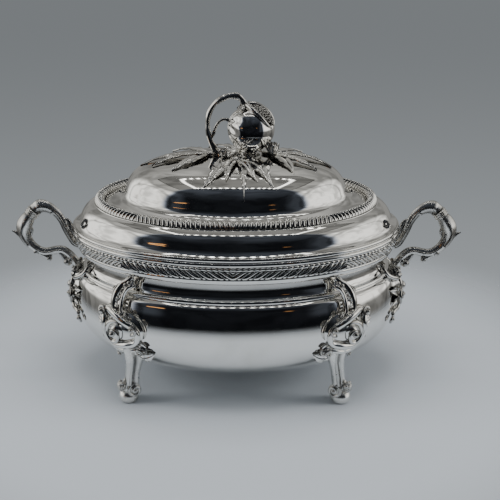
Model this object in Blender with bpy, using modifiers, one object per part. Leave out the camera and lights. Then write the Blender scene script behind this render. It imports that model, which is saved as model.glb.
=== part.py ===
"""Oval soup tureen on four scroll feet, with a domed lift-off lid and a fruit finial.

Frame: +Z up, +X towards the right-hand handle, origin on the ground under the centre.
Run with: blender --background --python part.py
"""

import math

import bmesh
import bpy
from mathutils import Matrix, Vector

MM = 0.001

# ---------------------------------------------------------------- driving dimensions (mm)
WIDTH_RATIO = 0.74          # width over length of every oval
GAP = 0.3                   # clearance between neighbouring solids
WALL = 1.5                  # thickness of the raised shells
RIM_TOP = 143.5             # height of the bowl's rim
FLOOR_OUT = 28.5            # underside of the bowl
BORDER_INSIDE = 142.9       # half length of the rim border's bore
SEAT_HALF_LENGTH = 129.2    # middle of the lid's upper border
SEAT_HEIGHT = 173.6
DOME_TOP = 217.0
OVAL_STEPS = 48             # facets round each oval

FOOT_ANGLE = math.radians(50.5)      # where the feet stand on the oval
FOOT_PAD = (98.6, 78.4)              # centre of a foot's pad
FOOT_OUTWARD = (0.88, 0.475)         # the way a foot's toe points
KNEE_HEIGHT = 76.0

HANDLE_TIE = (-195.3, 159.3)         # middle of the reeded tie in x and z
TIE_AXIS = (-0.61, -0.79)
TIE_HALF = 3.2

FRUIT_CENTRE = (14.4, 0.0, 241.6)
FRUIT_RADIUS = 22.0
STUD_X = 6.0
STUD_RADIUS = 2.0

# A leg's middle line from the knee down, for the corner where x and y are positive: x, y, z, radius.
LEG = [
    (93.0, 90.5, 63.0, 7.6), (91.2, 89.8, 52.0, 7.2), (92.4, 86.4, 41.0, 5.9), (94.0, 83.4, 31.0, 5.2),
    (95.2, 81.4, 22.0, 5.4), (96.6, 79.6, 13.0, 6.2),
]
TOE_CENTRE = (95.0, 79.6, 14.0)

# Half length of the oval and height, from the rim border down to the underside.
BOWL_OUTSIDE = [
    (142.6, 143.5), (142.6, 127.0), (141.9, 119.0), (143.6, 112.5), (147.6, 110.8), (148.6, 109.0),
    (147.6, 107.2), (150.2, 105.0), (152.0, 102.0), (153.4, 97.5), (154.7, 90.0), (155.5, 80.0),
    (155.0, 71.0), (152.4, 61.5),
    (147.3, 52.0), (138.8, 43.2), (125.0, 35.6), (105.0, 30.6), (80.0, 28.8), (40.0, FLOOR_OUT),
]
BORDER_OUTSIDE = [
    (149.6, 143.4), (152.6, 141.6), (154.4, 138.4), (154.2, 134.8), (151.6, 131.8),
    (150.4, 131.4), (150.2, 126.6),
]
# The lid is a dome whose edge sits on a shoulder.
DOME_OUTSIDE = [
    (40.0, 215.9), (62.0, 213.7), (78.0, 210.2), (89.0, 205.4), (96.0, 200.6), (100.4, 195.4),
    (103.2, 190.0), (104.4, 186.4), (105.0, 184.4),
]
SHOULDER_OUTSIDE = [
    (106.2, 182.1), (107.9, 180.3), (110.4, 178.7), (114.0, 177.4), (119.0, 176.0), (124.0, SEAT_HEIGHT),
    (134.2, SEAT_HEIGHT), (139.0, 170.9), (142.6, 168.2), (145.2, 165.0), (147.0, 161.6), (148.0, 159.2),
    (149.2, 157.0), (151.0, 155.0), (153.4, 153.3), (153.4, 144.2),
]
SHOULDER_LIP = [(103.2, 184.1), (105.2, 184.1)]
LID_OUTSIDE = [*DOME_OUTSIDE, *SHOULDER_OUTSIDE]


def oval_bpy(point, angle):
    """A point of the oval of that half length and height, in millimetres."""
    half_length, height = point
    return Vector((half_length * math.cos(angle), WIDTH_RATIO * half_length * math.sin(angle), height))


def silver(name, colour, roughness):
    material = bpy.data.materials.new(name)
    material.use_nodes = True
    shader = material.node_tree.nodes["Principled BSDF"]
    shader.inputs["Base Color"].default_value = (*colour, 1.0)
    shader.inputs["Metallic"].default_value = 1.0
    shader.inputs["Roughness"].default_value = roughness
    return material


def clear_scene():
    for obj in list(bpy.data.objects):
        bpy.data.objects.remove(obj, do_unlink=True)


clear_scene()
TUREEN = bpy.data.collections.new("soup_tureen")
CUTTERS = bpy.data.collections.new("cutters")
for collection in (TUREEN, CUTTERS):
    bpy.context.scene.collection.children.link(collection)
POLISHED = silver("polished_silver", (0.88, 0.87, 0.84), 0.06)
CAST = silver("cast_silver", (0.84, 0.82, 0.78), 0.16)
BRASS = silver("fitting_brass", (0.78, 0.62, 0.34), 0.25)


# ---------------------------------------------------------------- builders
def add(name, mesh, material):
    """Links a mesh as a node, or as a cutter where it has no material."""
    obj = bpy.data.objects.new(name, mesh)
    if material is None:
        CUTTERS.objects.link(obj)
        obj.hide_render = True
        obj.display_type = "WIRE"
    else:
        TUREEN.objects.link(obj)
        mesh.materials.append(material)
        mesh.shade_smooth()
        mesh.set_sharp_from_angle(angle=math.radians(35))
    return obj


def cut(obj, *cutters):
    for cutter in cutters:
        modifier = obj.modifiers.new("cut_" + cutter.name, "BOOLEAN")
        modifier.operation = "DIFFERENCE"
        modifier.object = cutter
    return obj


def join(obj, *others):
    for other in others:
        modifier = obj.modifiers.new("join_" + other.name, "BOOLEAN")
        modifier.operation = "UNION"
        modifier.object = other
    return obj


def turned_oval(name, profile, material, closed=True):
    """Turns a profile of (half length, height) round Z, then narrows it to the oval."""
    bm = bmesh.new()
    points = [bm.verts.new((a * MM, 0.0, z * MM)) for a, z in profile]
    for first, second in zip(points, points[1:]):
        bm.edges.new((first, second))
    if closed:
        bm.edges.new((points[-1], points[0]))
    mesh = bpy.data.meshes.new(name)
    bm.to_mesh(mesh)
    bm.free()
    obj = add(name, mesh, material)
    turn = obj.modifiers.new("turn", "SCREW")
    turn.steps = turn.render_steps = OVAL_STEPS
    turn.use_merge_vertices = True
    turn.merge_threshold = 0.00001
    obj.scale = (1.0, WIDTH_RATIO, 1.0)
    return obj


def offset(profile, distance):
    """The profile moved along its normals: positive is outwards for one that runs down its outer side."""
    moved = []
    for i, point in enumerate(profile):
        before = Vector(profile[max(i - 1, 0)])
        after = Vector(profile[min(i + 1, len(profile) - 1)])
        along = (after - before).normalized()
        moved.append((point[0] - along.y * distance, point[1] + along.x * distance))
    return moved


def smooth_route(points, steps):
    """A Catmull-Rom curve through the points."""
    route = []
    padded = [points[0], *points, points[-1]]
    for p0, p1, p2, p3 in zip(padded, padded[1:], padded[2:], padded[3:]):
        for i in range(steps):
            t = i / steps
            route.append(tuple(
                0.5 * (2 * b + (c - a) * t + (2 * a - 5 * b + 4 * c - d) * t * t
                       + (3 * b - a - 3 * c + d) * t ** 3)
                for a, b, c, d in zip(p0, p1, p2, p3)
            ))
    route.append(tuple(points[-1]))
    return route


def tube(name, stations, material, steps=2, grow=0.0):
    """A rod through (x, y, z, radius) stations, as a closed mesh."""
    curve = bpy.data.curves.new(name, "CURVE")
    curve.dimensions = "3D"
    curve.bevel_depth = MM
    curve.bevel_resolution = 2
    curve.use_fill_caps = True
    route = smooth_route(stations, steps)
    spline = curve.splines.new("POLY")
    spline.points.add(len(route) - 1)
    for point, (x, y, z, radius) in zip(spline.points, route):
        point.co = (x * MM, y * MM, z * MM, 1.0)
        point.radius = radius + grow
    holder = bpy.data.objects.new(name + "_curve", curve)
    bpy.context.scene.collection.objects.link(holder)
    graph = bpy.context.evaluated_depsgraph_get()
    mesh = bpy.data.meshes.new_from_object(holder.evaluated_get(graph))
    bpy.data.objects.remove(holder)
    bm = bmesh.new()
    bm.from_mesh(mesh)
    bmesh.ops.remove_doubles(bm, verts=bm.verts, dist=0.00001)
    bmesh.ops.recalc_face_normals(bm, faces=bm.faces)
    bm.to_mesh(mesh)
    bm.free()
    mesh.name = name
    return add(name, mesh, material)


def ball(name, centre, radii, material, turn=None, segments=16, rings=10):
    """An ellipsoid: radii along its own axes, turned by a rotation matrix."""
    bm = bmesh.new()
    bmesh.ops.create_uvsphere(bm, u_segments=segments, v_segments=rings, radius=1.0)
    matrix = Matrix.Translation(Vector(centre) * MM)
    matrix = matrix @ (turn.to_4x4() if turn else Matrix.Identity(4))
    matrix = matrix @ Matrix.Diagonal((*(Vector(radii) * MM), 1.0))
    bmesh.ops.transform(bm, matrix=matrix, verts=bm.verts)
    mesh = bpy.data.meshes.new(name)
    bm.to_mesh(mesh)
    bm.free()
    return add(name, mesh, material)


def rod(name, start, end, radius, material, sides=16):
    """A straight cylinder between two points."""
    start, end = Vector(start), Vector(end)
    bm = bmesh.new()
    bmesh.ops.create_cone(
        bm, cap_ends=True, segments=sides, radius1=radius * MM, radius2=radius * MM,
        depth=(end - start).length * MM
    )
    turn = (end - start).to_track_quat("Z", "Y").to_matrix().to_4x4()
    bmesh.ops.transform(bm, matrix=Matrix.Translation((start + end) * 0.5 * MM) @ turn, verts=bm.verts)
    mesh = bpy.data.meshes.new(name)
    bm.to_mesh(mesh)
    bm.free()
    return add(name, mesh, material)


def draped(name, surface, outline, thickness, material, segments=36, rings=6, grow=0.0):
    """A flattened ball laid on a surface. outline(angle) is its reach.

    Its inner half sinks in, to be cut away.
    """
    bm = bmesh.new()
    bmesh.ops.create_uvsphere(bm, u_segments=segments, v_segments=rings, radius=1.0)
    for vert in bm.verts:
        angle = math.atan2(vert.co.y, vert.co.x)
        share = math.hypot(vert.co.x, vert.co.y)
        reach = (outline(angle) + grow) * share
        height = (thickness + grow) * vert.co.z if vert.co.z > 0 else 2.5 * vert.co.z
        vert.co = surface(reach * math.cos(angle), reach * math.sin(angle), height) * MM
    bmesh.ops.recalc_face_normals(bm, faces=bm.faces)
    mesh = bpy.data.meshes.new(name)
    bm.to_mesh(mesh)
    bm.free()
    return add(name, mesh, material)


# ---------------------------------------------------------------- surfaces that ornaments lie on
def along(profile, height):
    """The profile's half length at a height."""
    for (a1, z1), (a2, z2) in zip(profile, profile[1:]):
        if min(z1, z2) <= height <= max(z1, z2) and z1 != z2:
            return a1 + (a2 - a1) * (height - z1) / (z2 - z1)
    return profile[-1][0]


def bowl_surface(angle, height):
    """A function of (sideways, up, out) round one place on the bowl's side."""
    half_length = along(BOWL_OUTSIDE, height)
    pace = half_length * math.hypot(math.sin(angle), WIDTH_RATIO * math.cos(angle))

    def place(sideways, up, out):
        turned = angle + sideways / pace
        z = max(height + up, FLOOR_OUT + 4.0)
        foot = oval_bpy((along(BOWL_OUTSIDE, z), z), turned)
        below = along(BOWL_OUTSIDE, max(z - 3.0, FLOOR_OUT + 1.0))
        above = along(BOWL_OUTSIDE, z + 3.0)
        normal = Vector((WIDTH_RATIO * math.cos(turned), math.sin(turned), 0.0)).normalized()
        normal.z = (below - above) / 6.0
        return foot + normal.normalized() * out

    return place


def dome_height(x, y):
    """The lid's top surface over a point."""
    half_length = math.hypot(x, y / WIDTH_RATIO)
    previous = (0.0, DOME_TOP)
    for a, z in LID_OUTSIDE:
        if half_length <= a:
            share = (half_length - previous[0]) / (a - previous[0])
            return previous[1] + (z - previous[1]) * share
        previous = (a, z)
    return previous[1]


def dome_surface(x, y):
    def place(forward, left, out):
        return Vector((x + forward, y + left, dome_height(x + forward, y + left) + out))

    return place


# ---------------------------------------------------------------- bowl and lid
def build_bowl():
    """The raised bowl, open at the top."""
    inside = [(a, z) for a, z in offset(BOWL_OUTSIDE, -WALL) if z > FLOOR_OUT + WALL * 0.9]
    inside[0] = (BOWL_OUTSIDE[0][0] - WALL, RIM_TOP)
    profile = [(0.0, FLOOR_OUT + WALL), *reversed(inside), *BOWL_OUTSIDE, (0.0, FLOOR_OUT)]
    turned_oval("bowl_shell", profile, POLISHED, closed=False)
    border = [*BORDER_OUTSIDE, (BORDER_INSIDE, 126.6), (BORDER_INSIDE, 143.4)]
    turned_oval("bowl_gadroon_border", border, CAST)


def build_lid():
    """The lid's dome and shoulder, its reeded edge wire, its bezel and its upper border."""
    inside = offset(DOME_OUTSIDE, -WALL)
    inside[-1] = (DOME_OUTSIDE[-1][0] - WALL, DOME_OUTSIDE[-1][1])
    profile = [(0.0, DOME_TOP), *DOME_OUTSIDE, *reversed(inside), (0.0, DOME_TOP - WALL)]
    dome = turned_oval("lid_dome", profile, POLISHED, closed=False)
    hole = rod("lid_stud_hole", (STUD_X, 0, 205), (STUD_X, 0, 225), STUD_RADIUS + GAP, None)
    cut(dome, hole)
    outside = [*SHOULDER_LIP, *SHOULDER_OUTSIDE]
    inside = offset(outside, -WALL)
    inside[-1] = (outside[-1][0] - WALL, outside[-1][1])
    turned_oval("lid_shoulder", [*outside, *reversed(inside)], POLISHED)
    edge = [
        (154.4, 152.4), (155.6, 151.4), (155.8, 149.8), (155.0, 148.6), (156.0, 147.4), (156.2, 145.8),
        (155.0, 144.2), (153.7, 144.2), (153.7, 152.4),
    ]
    turned_oval("lid_reeded_edge", edge, POLISHED)
    bezel = [(151.6, 145.2), (151.6, 143.9), (139.6, 143.9), (139.6, 134.5), (138.2, 134.5), (138.2, 145.2)]
    turned_oval("lid_bezel", bezel, POLISHED)
    base = SEAT_HEIGHT + GAP
    half = 4.8
    border = [
        (SEAT_HALF_LENGTH + half * math.cos(math.pi * i / 6), base + 6.4 * math.sin(math.pi * i / 6))
        for i in range(5, -1, -1)
    ]
    border = [(SEAT_HALF_LENGTH - half, base), *border]
    turned_oval("lid_gadroon_border", border, CAST)


def envelope(name, profile):
    """A solid the shape of the outside, grown by the gap, that takes the back off an ornament."""
    line = [(0.0, profile[0][1]), *offset(profile, GAP), (0.0, profile[-1][1] - GAP)]
    return turned_oval(name, line, None, closed=False)


BODY_OUTSIDE = [(142.0, 160.0), (149.6, 143.6), *BORDER_OUTSIDE[1:], *BOWL_OUTSIDE[1:]]
BODY_CUTTER = envelope("body_envelope", BODY_OUTSIDE)


def lid_envelope():
    top = [
        (0.0, DOME_TOP + GAP), *offset([p for p in LID_OUTSIDE if p[0] < 134.5], GAP),
        (SEAT_HALF_LENGTH, 150.0), (0.0, 150.0),
    ]
    return turned_oval("lid_envelope", top, None, closed=False)


# ---------------------------------------------------------------- feet
def corner_name(x_sign, y_sign):
    return ("front" if y_sign < 0 else "back") + "_" + ("left" if x_sign < 0 else "right")


def knee_outline(angle):
    """The shell cartouche: wide in the middle, scalloped round its edge."""
    across, high = 24.0, 23.0
    oval = across * high / math.hypot(high * math.cos(angle), across * math.sin(angle))
    return oval * (1.0 + 0.07 * math.cos(6 * angle))


def build_foot(x_sign, y_sign):
    """One foot: the leg with its toe and pad, the shell on its knee, and the scroll bracket up to the rim."""
    corner = corner_name(x_sign, y_sign)
    angle = math.atan2(y_sign * math.sin(FOOT_ANGLE), x_sign * math.cos(FOOT_ANGLE))
    knee = bowl_surface(angle, KNEE_HEIGHT)
    shell = draped("foot_shell_" + corner, knee, knee_outline, 8.0, CAST)
    cut(shell, BODY_CUTTER)
    shell_cutter = draped("shell_cutter_" + corner, knee, knee_outline, 8.0, None, grow=GAP)

    pad = Vector((x_sign * FOOT_PAD[0], y_sign * FOOT_PAD[1], 0.0))
    out = Vector((x_sign * FOOT_OUTWARD[0], y_sign * FOOT_OUTWARD[1], 0.0)).normalized()
    side = Vector((-out.y, out.x, 0.0))

    leg = tube("foot_leg_" + corner, [(x_sign * x, y_sign * y, z, radius) for x, y, z, radius in LEG], CAST)
    toe_centre = Vector((x_sign * TOE_CENTRE[0], y_sign * TOE_CENTRE[1], TOE_CENTRE[2]))
    toe = rod("toe_" + corner, toe_centre - side * 8.0, toe_centre + side * 8.0, 6.2, None)
    curl_centre = toe_centre + out * 7.5 + Vector((0, 0, 3.0))
    curl = ball("curl_" + corner, curl_centre, (5.0, 5.0, 5.0), None, segments=12, rings=8)
    foot_pad = ball("pad_" + corner, pad + Vector((0, 0, 6.0)), (9.5, 9.5, 8.5), None, segments=16, rings=10)
    ground = rod("ground_" + corner, pad + Vector((0, 0, -20)), pad, 40.0, None)
    join(leg, toe, curl, foot_pad)
    cut(leg, ground, BODY_CUTTER, shell_cutter)

    knee_place = [
        (0.0, 16.0, 6.5, 4.2), (1.0, 26.0, 6.0, 3.6), (0.5, 36.0, 9.0, 3.2), (-1.0, 44.0, 9.0, 3.0),
        (-2.0, 51.0, 7.5, 3.2),
    ]
    stations = [(*knee(sideways, up, stand), radius) for sideways, up, stand, radius in knee_place]
    bracket = tube("foot_bracket_" + corner, stations, CAST)
    cut(bracket, BODY_CUTTER, shell_cutter)


# ---------------------------------------------------------------- handles
UPPER_ARM = [
    (-152.2, 126.8, 2.6), (-156.6, 129.6, 2.6), (-160.2, 136.0, 2.8), (-163.9, 143.5, 2.9),
    (-167.0, 151.2, 2.9),
    (-171.6, 158.3, 3.1), (-177.4, 163.4, 3.6), (-183.4, 166.4, 4.2), (-188.6, 166.4, 4.6),
]
LOWER_ARM = [
    (-203.8, 147.6, 5.4), (-206.2, 140.8, 5.3), (-203.8, 133.0, 4.4), (-199.1, 126.6, 3.5),
    (-193.2, 121.6, 3.0),
    (-187.1, 119.4, 2.9), (-180.2, 120.1, 2.9), (-173.9, 122.0, 2.9), (-168.0, 121.8, 3.0),
    (-162.6, 118.2, 3.2),
    (-157.6, 111.6, 3.6), (-152.0, 104.0, 4.0),
]
SPURS = {
    "upper": [((-160.4, 148.6), (1.9, 1.9, 4.2))],
    "lower": [
        ((-211.5, 140.4), (5.5, 2.4, 2.0)), ((-182.4, 114.6), (2.6, 2.6, 3.6)), ((-163.6, 110.0), (3.6, 3.2, 3.6)),
    ],
}


def mount_outline(angle):
    """The handle's cartouche: two side leaves and a drop below."""
    across, high = 30.0, 25.0
    oval = across * high / math.hypot(high * math.cos(angle), across * math.sin(angle))
    return oval * (1.0 + 0.12 * math.cos(5 * angle + math.pi / 2))


def build_handle(side_name, x_sign):
    """One cast handle in two arms that meet in the reeded tie, and its leaf mount on the bowl."""
    mirror = -x_sign
    angle = 0.0 if x_sign > 0 else math.pi
    place = bowl_surface(angle, 86.0)
    mount = draped("handle_mount_" + side_name, place, mount_outline, 6.5, CAST)
    cut(mount, BODY_CUTTER)
    mount_cutter = draped("mount_cutter_" + side_name, place, mount_outline, 6.5, None, grow=GAP)

    def stations(points):
        return [(mirror * x, 0.0, z, radius) for x, z, radius in points]

    def spurs(arm):
        return [
            ball(f"spur_{arm}_{side_name}_{i}", (mirror * x, 0.0, z), radii, None, segments=10, rings=8)
            for i, ((x, z), radii) in enumerate(SPURS[arm])
        ]

    reach = TIE_HALF + GAP
    above = (HANDLE_TIE[0] - TIE_AXIS[0] * reach, HANDLE_TIE[1] - TIE_AXIS[1] * reach, 4.8)
    below = (HANDLE_TIE[0] + TIE_AXIS[0] * reach, HANDLE_TIE[1] + TIE_AXIS[1] * reach, 5.0)
    upper = tube("handle_upper_arm_" + side_name, stations([*UPPER_ARM, above]), CAST)
    lower = tube("handle_lower_arm_" + side_name, stations([below, *LOWER_ARM]), CAST)
    join(upper, *spurs("upper"))
    join(lower, *spurs("lower"))
    tie_ends = [
        (mirror * (HANDLE_TIE[0] + TIE_AXIS[0] * TIE_HALF * s), 0.0, HANDLE_TIE[1] + TIE_AXIS[1] * TIE_HALF * s)
        for s in (-1, 1)
    ]
    tie = rod("handle_tie_" + side_name, *tie_ends, 6.6, CAST)
    tie_cutter = rod("tie_cutter_" + side_name, *stretched(tie_ends, GAP), 6.9, None)
    cut(upper, BODY_CUTTER, tie_cutter)
    cut(lower, BODY_CUTTER, mount_cutter, tie_cutter)
    rounding = tie.modifiers.new("round", "BEVEL")
    rounding.width = 1.2 * MM
    rounding.segments = 2


def stretched(ends, extra):
    """A segment's two ends moved apart by extra each."""
    first, last = Vector(ends[0]), Vector(ends[1])
    step = (last - first).normalized() * extra
    return first - step, last + step


# ---------------------------------------------------------------- finial
# A spray's root on the lid, and its leaves as (tip x, tip y, half width).
SPRAYS = {
    "left": ((-27.0, -1.0), [(-86.0, 1.0, 5.5), (-74.0, -15.0, 5.0), (-56.0, -33.0, 5.5), (-60.0, 30.0, 5.5)]),
    "right": ((33.0, 3.0), [(87.0, -4.0, 5.5), (73.0, -22.0, 5.0), (53.0, -38.0, 5.5), (62.0, 30.0, 5.5)]),
    "front": (
        (2.0, -25.0),
        [(-26.0, -61.0, 5.5), (-7.0, -58.0, 4.0), (8.0, -68.0, 3.5), (20.0, -57.0, 4.0), (34.0, -59.0, 5.5)],
    ),
    "back": ((2.0, 25.0), [(-30.0, 58.0, 5.5), (2.0, 66.0, 5.0), (32.0, 58.0, 5.5)]),
}


def spray_outline(root, leaves):
    """The reach of a spray of pointed leaves from its root, by angle."""
    shapes = []
    for tip_x, tip_y, half_width in leaves:
        reach = math.hypot(tip_x - root[0], tip_y - root[1])
        shapes.append((math.atan2(tip_y - root[1], tip_x - root[0]), reach, half_width / (0.55 * reach)))

    def outline(angle):
        best = 7.0
        for middle, reach, spread in shapes:
            away = abs((angle - middle + math.pi) % (2 * math.pi) - math.pi)
            if away < spread:
                best = max(best, 7.0 + (reach - 7.0) * (1.0 - away / spread))
        return best

    return outline


def build_finial(lid_cutter):
    """The fruit on its twig, the buds and leaf sprays round it, and the fixing through the dome."""
    base_surface = dome_surface(4.0, 0.0)
    base = draped("finial_base", base_surface, lambda angle: 18.0 + 1.5 * math.cos(7 * angle), 6.0, CAST)
    base_cutter = draped(
        "base_cutter", base_surface, lambda angle: 18.0 + 1.5 * math.cos(7 * angle), 6.0, None, grow=GAP
    )
    fruit = ball("finial_fruit", FRUIT_CENTRE, (FRUIT_RADIUS,) * 3, POLISHED, segments=24, rings=16)
    fruit_cutter = ball("fruit_cutter", FRUIT_CENTRE, (FRUIT_RADIUS + GAP,) * 3, None, segments=24, rings=16)
    stud = rod("finial_stud", (STUD_X, 0, 206.0), (STUD_X, 0, 219.2), STUD_RADIUS, BRASS)
    stud_cutter = rod("stud_cutter", (STUD_X, 0, 205.7), (STUD_X, 0, 219.5), STUD_RADIUS + GAP, None)
    cut(base, lid_cutter, fruit_cutter, stud_cutter)
    cut(fruit, stud_cutter)

    washer = rod("finial_washer", (STUD_X, 0, 212.6), (STUD_X, 0, 214.0), 7.0, BRASS, sides=24)
    nut = rod("finial_nut", (STUD_X, 0, 208.2), (STUD_X, 0, 212.3), 4.4, BRASS, sides=6)
    for piece in (washer, nut):
        cut(piece, stud_cutter)

    loop = [
        (-12.0, 0.0, 214.0, 3.4), (-16.5, 0.0, 219.0, 3.2), (-20.8, 0.0, 224.5, 2.8), (-24.3, 0.0, 232.5, 2.4),
        (-26.2, 0.0, 243.9, 2.3), (-24.3, 0.0, 256.0, 2.4), (-17.9, 0.0, 265.5, 2.6), (-8.0, 0.0, 271.4, 2.8),
        (1.6, 0.0, 272.6, 3.0), (6.4, 0.0, 268.4, 2.8), (8.6, 0.0, 262.0, 3.0),
    ]
    stem = tube("finial_twig", loop, CAST)
    stem_cutter = tube("twig_cutter", loop, None, grow=GAP)
    cut(stem, lid_cutter, base_cutter, fruit_cutter)

    curl = [
        (-24.0, 0.0, 231.5, 1.5), (-20.6, 0.0, 236.5, 1.5), (-19.0, 0.0, 242.0, 1.4), (-16.0, 0.0, 247.0, 1.4),
        (-11.5, 0.0, 250.0, 1.4), (-6.4, 0.0, 249.4, 1.5), (-2.0, 0.0, 245.6, 1.6),
    ]
    cut(tube("finial_tendril", curl, CAST), stem_cutter, fruit_cutter)

    seed_way = Vector((0.52, -0.46, 0.72)).normalized()
    seeds = ball(
        "finial_seed_patch", Vector(FRUIT_CENTRE) + seed_way * (FRUIT_RADIUS - 1.5), (12.5, 9.5, 3.6), CAST,
        turn=seed_way.to_track_quat("Z", "Y").to_matrix(), segments=16, rings=8,
    )
    cut(seeds, fruit_cutter)

    buds = []
    for name, centre, radii in (
        ("finial_bud_right", (35.0, -3.0, 222.6), (6.0, 5.6, 6.6)),
        ("finial_bud_left", (-11.5, -11.0, 221.0), (4.0, 4.0, 5.0)),
    ):
        bud = ball(name, centre, radii, CAST, segments=14, rings=8)
        cut(bud, lid_cutter, base_cutter, fruit_cutter, stem_cutter)
        grown = Vector(radii) + Vector((GAP, GAP, GAP))
        buds.append(ball(name + "_cutter", centre, grown, None, segments=14, rings=8))

    for name, (root, leaves) in SPRAYS.items():
        spray = draped(
            "leaf_spray_" + name, dome_surface(*root), spray_outline(root, leaves), 3.0, CAST,
            segments=60, rings=6
        )
        cut(spray, lid_cutter, base_cutter, fruit_cutter, stem_cutter, *buds)


build_bowl()
build_lid()
for x_side in (-1, 1):
    for y_side in (-1, 1):
        build_foot(x_side, y_side)
build_handle("left", -1)
build_handle("right", 1)
build_finial(lid_envelope())
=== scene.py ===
"""The soup tureen's looks: oval shells, gadrooned borders, cast shell feet, scroll handles and a fruit finial.

Shapes are in millimetres until joined() turns them into metres. The lights and the camera are in metres.
"""

import math

import bpy
import numpy as np
from mathutils import Matrix, Vector


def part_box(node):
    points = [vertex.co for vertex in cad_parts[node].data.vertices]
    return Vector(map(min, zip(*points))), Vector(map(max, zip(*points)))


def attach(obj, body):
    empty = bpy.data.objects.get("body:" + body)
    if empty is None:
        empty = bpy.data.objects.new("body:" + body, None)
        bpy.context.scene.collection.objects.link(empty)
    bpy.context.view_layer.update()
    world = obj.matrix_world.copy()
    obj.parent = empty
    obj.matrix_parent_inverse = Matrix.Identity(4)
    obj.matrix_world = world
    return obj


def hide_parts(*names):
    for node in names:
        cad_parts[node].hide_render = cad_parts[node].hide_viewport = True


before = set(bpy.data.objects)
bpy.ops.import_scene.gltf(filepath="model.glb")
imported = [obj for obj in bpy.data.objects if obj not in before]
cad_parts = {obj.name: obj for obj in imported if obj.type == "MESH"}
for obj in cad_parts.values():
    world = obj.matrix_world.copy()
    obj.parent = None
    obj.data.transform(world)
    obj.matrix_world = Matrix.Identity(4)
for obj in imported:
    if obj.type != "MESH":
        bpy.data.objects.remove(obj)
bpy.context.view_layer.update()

MM = 0.001
SHELL_LOW, SHELL_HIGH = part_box("bowl_shell")
WIDTH_RATIO = (SHELL_HIGH.y - SHELL_LOW.y) / (SHELL_HIGH.x - SHELL_LOW.x)
FLOOR_OUT = SHELL_LOW.z / MM
DOME_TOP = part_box("lid_dome")[1].z / MM
SEAT_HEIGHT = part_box("lid_gadroon_border")[0].z / MM
SEAT_SKIN = SEAT_HEIGHT - 0.3
WALL = 1.5
OVAL_STEPS = 240
SKIRT = 1.0  # how far an ornament's edge reaches into the surface under it
WAVE = 6.28  # one ripple's phase, about a full turn
SHARP_EDGE = math.radians(50)
# Dark colour for painted shade in recesses, grooves and a handle's shaded sides, standing partly for tarnish.
SHADE_AND_TARNISH = (0.07, 0.064, 0.055, 1.0)

FOOT_ANGLE = math.radians(50.5)
FOOT_PAD = (98.6, 78.4)
FOOT_OUTWARD = Vector((0.88, 0.475, 0.0)).normalized()
TOE_CENTRE = (95.0, 79.6, 14.0)
KNEE_HEIGHT = 76.0
MOUNT_HEIGHT = 86.0
FRUIT_LOW, FRUIT_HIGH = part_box("finial_fruit")
FRUIT_CENTRE = (FRUIT_LOW + FRUIT_HIGH) / 2 / MM
FRUIT_RADIUS = (FRUIT_HIGH.x - FRUIT_LOW.x) / MM / 2

# (half length, height) from the bowl's rim or the lid's top down. Each list is one smooth stretch.
NECK = [(142.6, 143.5), (142.4, 130.0), (141.6, 120.0), (142.4, 115.0), (144.6, 111.8)]
BEAD = [(145.4, 111.6), (147.6, 111.0), (148.6, 109.4), (148.0, 107.8), (147.2, 107.2)]
BULGE = [
    (147.6, 106.8), (150.2, 105.0), (152.0, 102.0), (153.4, 97.5), (154.7, 90.0), (155.5, 80.0), (155.0, 71.0),
    (152.4, 61.5), (147.3, 52.0), (138.8, 43.2), (125.0, 35.6), (105.0, 30.8), (80.0, 29.0), (40.0, FLOOR_OUT),
    (0.01, FLOOR_OUT),
]
DOME = [
    (0.01, DOME_TOP), (25.0, 216.6), (45.0, 215.5), (62.0, 213.7), (78.0, 210.2), (89.0, 205.4), (96.0, 200.6),
    (100.4, 195.4), (103.2, 190.0), (104.4, 186.4), (105.0, 184.4),
]
COVE = [(106.2, 182.1), (107.9, 180.3), (110.4, 178.7), (114.0, 177.4), (119.0, 176.0), (124.0, SEAT_SKIN)]
SEAT = [(124.4, SEAT_SKIN), (134.0, SEAT_SKIN)]
SHOULDER = [
    (134.4, 173.0), (139.0, 170.9), (142.6, 168.2), (145.2, 165.0), (147.0, 161.6), (148.0, 159.2),
    (149.2, 157.0), (151.0, 155.0), (153.4, 153.3),
]
LID_EDGE = [(153.4, 152.6), (153.4, 144.3)]


# ---- shapes: each is (points, faces)
def direction(polar, angle):
    """The unit vector at an angle from +Z and an angle round it."""
    return Vector((math.sin(polar) * math.cos(angle), math.sin(polar) * math.sin(angle), math.cos(polar)))


def ellipse(across, high):
    """An outline as a function: how far it reaches at an angle."""
    return lambda angle: across * high / math.hypot(high * math.cos(angle), across * math.sin(angle))


def grid(rows, wrap_rows=False, wrap_columns=False):
    """A skin over rows of points."""
    count, width = len(rows), len(rows[0])
    points = [p for row in rows for p in row]
    faces = []
    for i in range(count if wrap_rows else count - 1):
        for j in range(width if wrap_columns else width - 1):
            a, b = i * width + j, i * width + (j + 1) % width
            c, d = (i + 1) % count * width + (j + 1) % width, (i + 1) % count * width + j
            faces.append((a, b, c, d))
    return points, faces


def capped(rows):
    """A closed tube over rows that are rings, with a fan at each end."""
    points, faces = grid(rows, wrap_columns=True)
    width = len(rows[0])
    for row, first, order in ((rows[0], 0, 1), (rows[-1], len(points) - width, -1)):
        middle = sum(row, Vector()) / width
        points.append(middle)
        tip = len(points) - 1
        for j in range(width):
            faces.append((first + j, tip, first + (j + 1) % width)[::order])
    return points, faces


def route(stops, steps):
    """A Catmull-Rom curve through rows of numbers."""
    stops = [tuple(s) for s in stops]
    padded = [stops[0], *stops, stops[-1]]
    curve = []
    for p0, p1, p2, p3 in zip(padded, padded[1:], padded[2:], padded[3:]):
        for i in range(steps):
            t = i / steps
            curve.append(tuple(
                0.5 * (2 * b + (c - a) * t + (2 * a - 5 * b + 4 * c - d) * t * t
                       + (3 * b - a - 3 * c + d) * t ** 3)
                for a, b, c, d in zip(p0, p1, p2, p3)
            ))
    curve.append(stops[-1])
    return curve


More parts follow.
